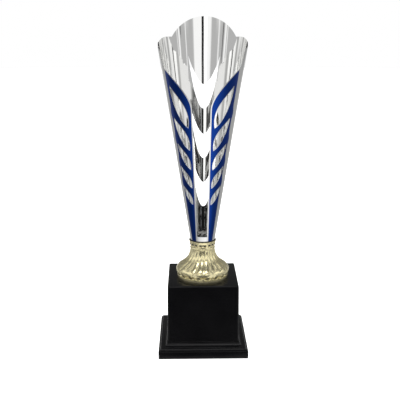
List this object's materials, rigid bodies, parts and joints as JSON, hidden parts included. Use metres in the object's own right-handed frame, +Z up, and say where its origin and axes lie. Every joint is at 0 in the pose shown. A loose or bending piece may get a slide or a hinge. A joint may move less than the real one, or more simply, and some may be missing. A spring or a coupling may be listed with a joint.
{
  "type": "cup trophy",
  "caption": "Tall open-fronted metal cup with pierced blue laurel branches, on a gold fluted riser and a square black stepped base.",
  "frame": {"origin": "middle of the foot pad's underside, where the trophy rests on a surface", "axes": "+Z up along the tie rod, -Y towards the open front of the cup, +X to the viewer's right"},
  "size_m": [0.1, 0.1029, 0.3713],
  "materials": {
    "chrome_sheet": "mirror-plated rolled sheet",
    "blue_lacquer": "gloss translucent lacquer over chrome",
    "gold_plastic": "vacuum-metallised pale gold moulding",
    "black_plastic": "gloss black moulding with faint sink marks",
    "black_rubber": "matte black rubber",
    "zinc_steel": "bright zinc-plated steel",
    "spring_steel": "blackened spring steel",
    "cast_weight": "rough cast iron disc",
    "cover_board": "matte black sheet plastic",
    "pad_foam": "black self-adhesive felt"
  },
  "bodies": {
    "root": {"cup_shell": "chrome_sheet", "laurel_left": "blue_lacquer", "laurel_right": "blue_lacquer", "cup_floor": "chrome_sheet", "cup_nut": "zinc_steel", "cup_washer": "zinc_steel", "seat_ring": "black_rubber", "riser": "gold_plastic", "tie_rod": "zinc_steel", "base_block": "black_plastic", "base_plinth": "black_plastic", "block_screws": "zinc_steel", "weight_plate": "cast_weight", "rod_washer": "zinc_steel", "spring_washer": "spring_steel", "rod_nut": "zinc_steel", "bottom_cover": "cover_board", "cover_screws": "zinc_steel", "foot_pad": "pad_foam"}
  },
  "joints": []
}
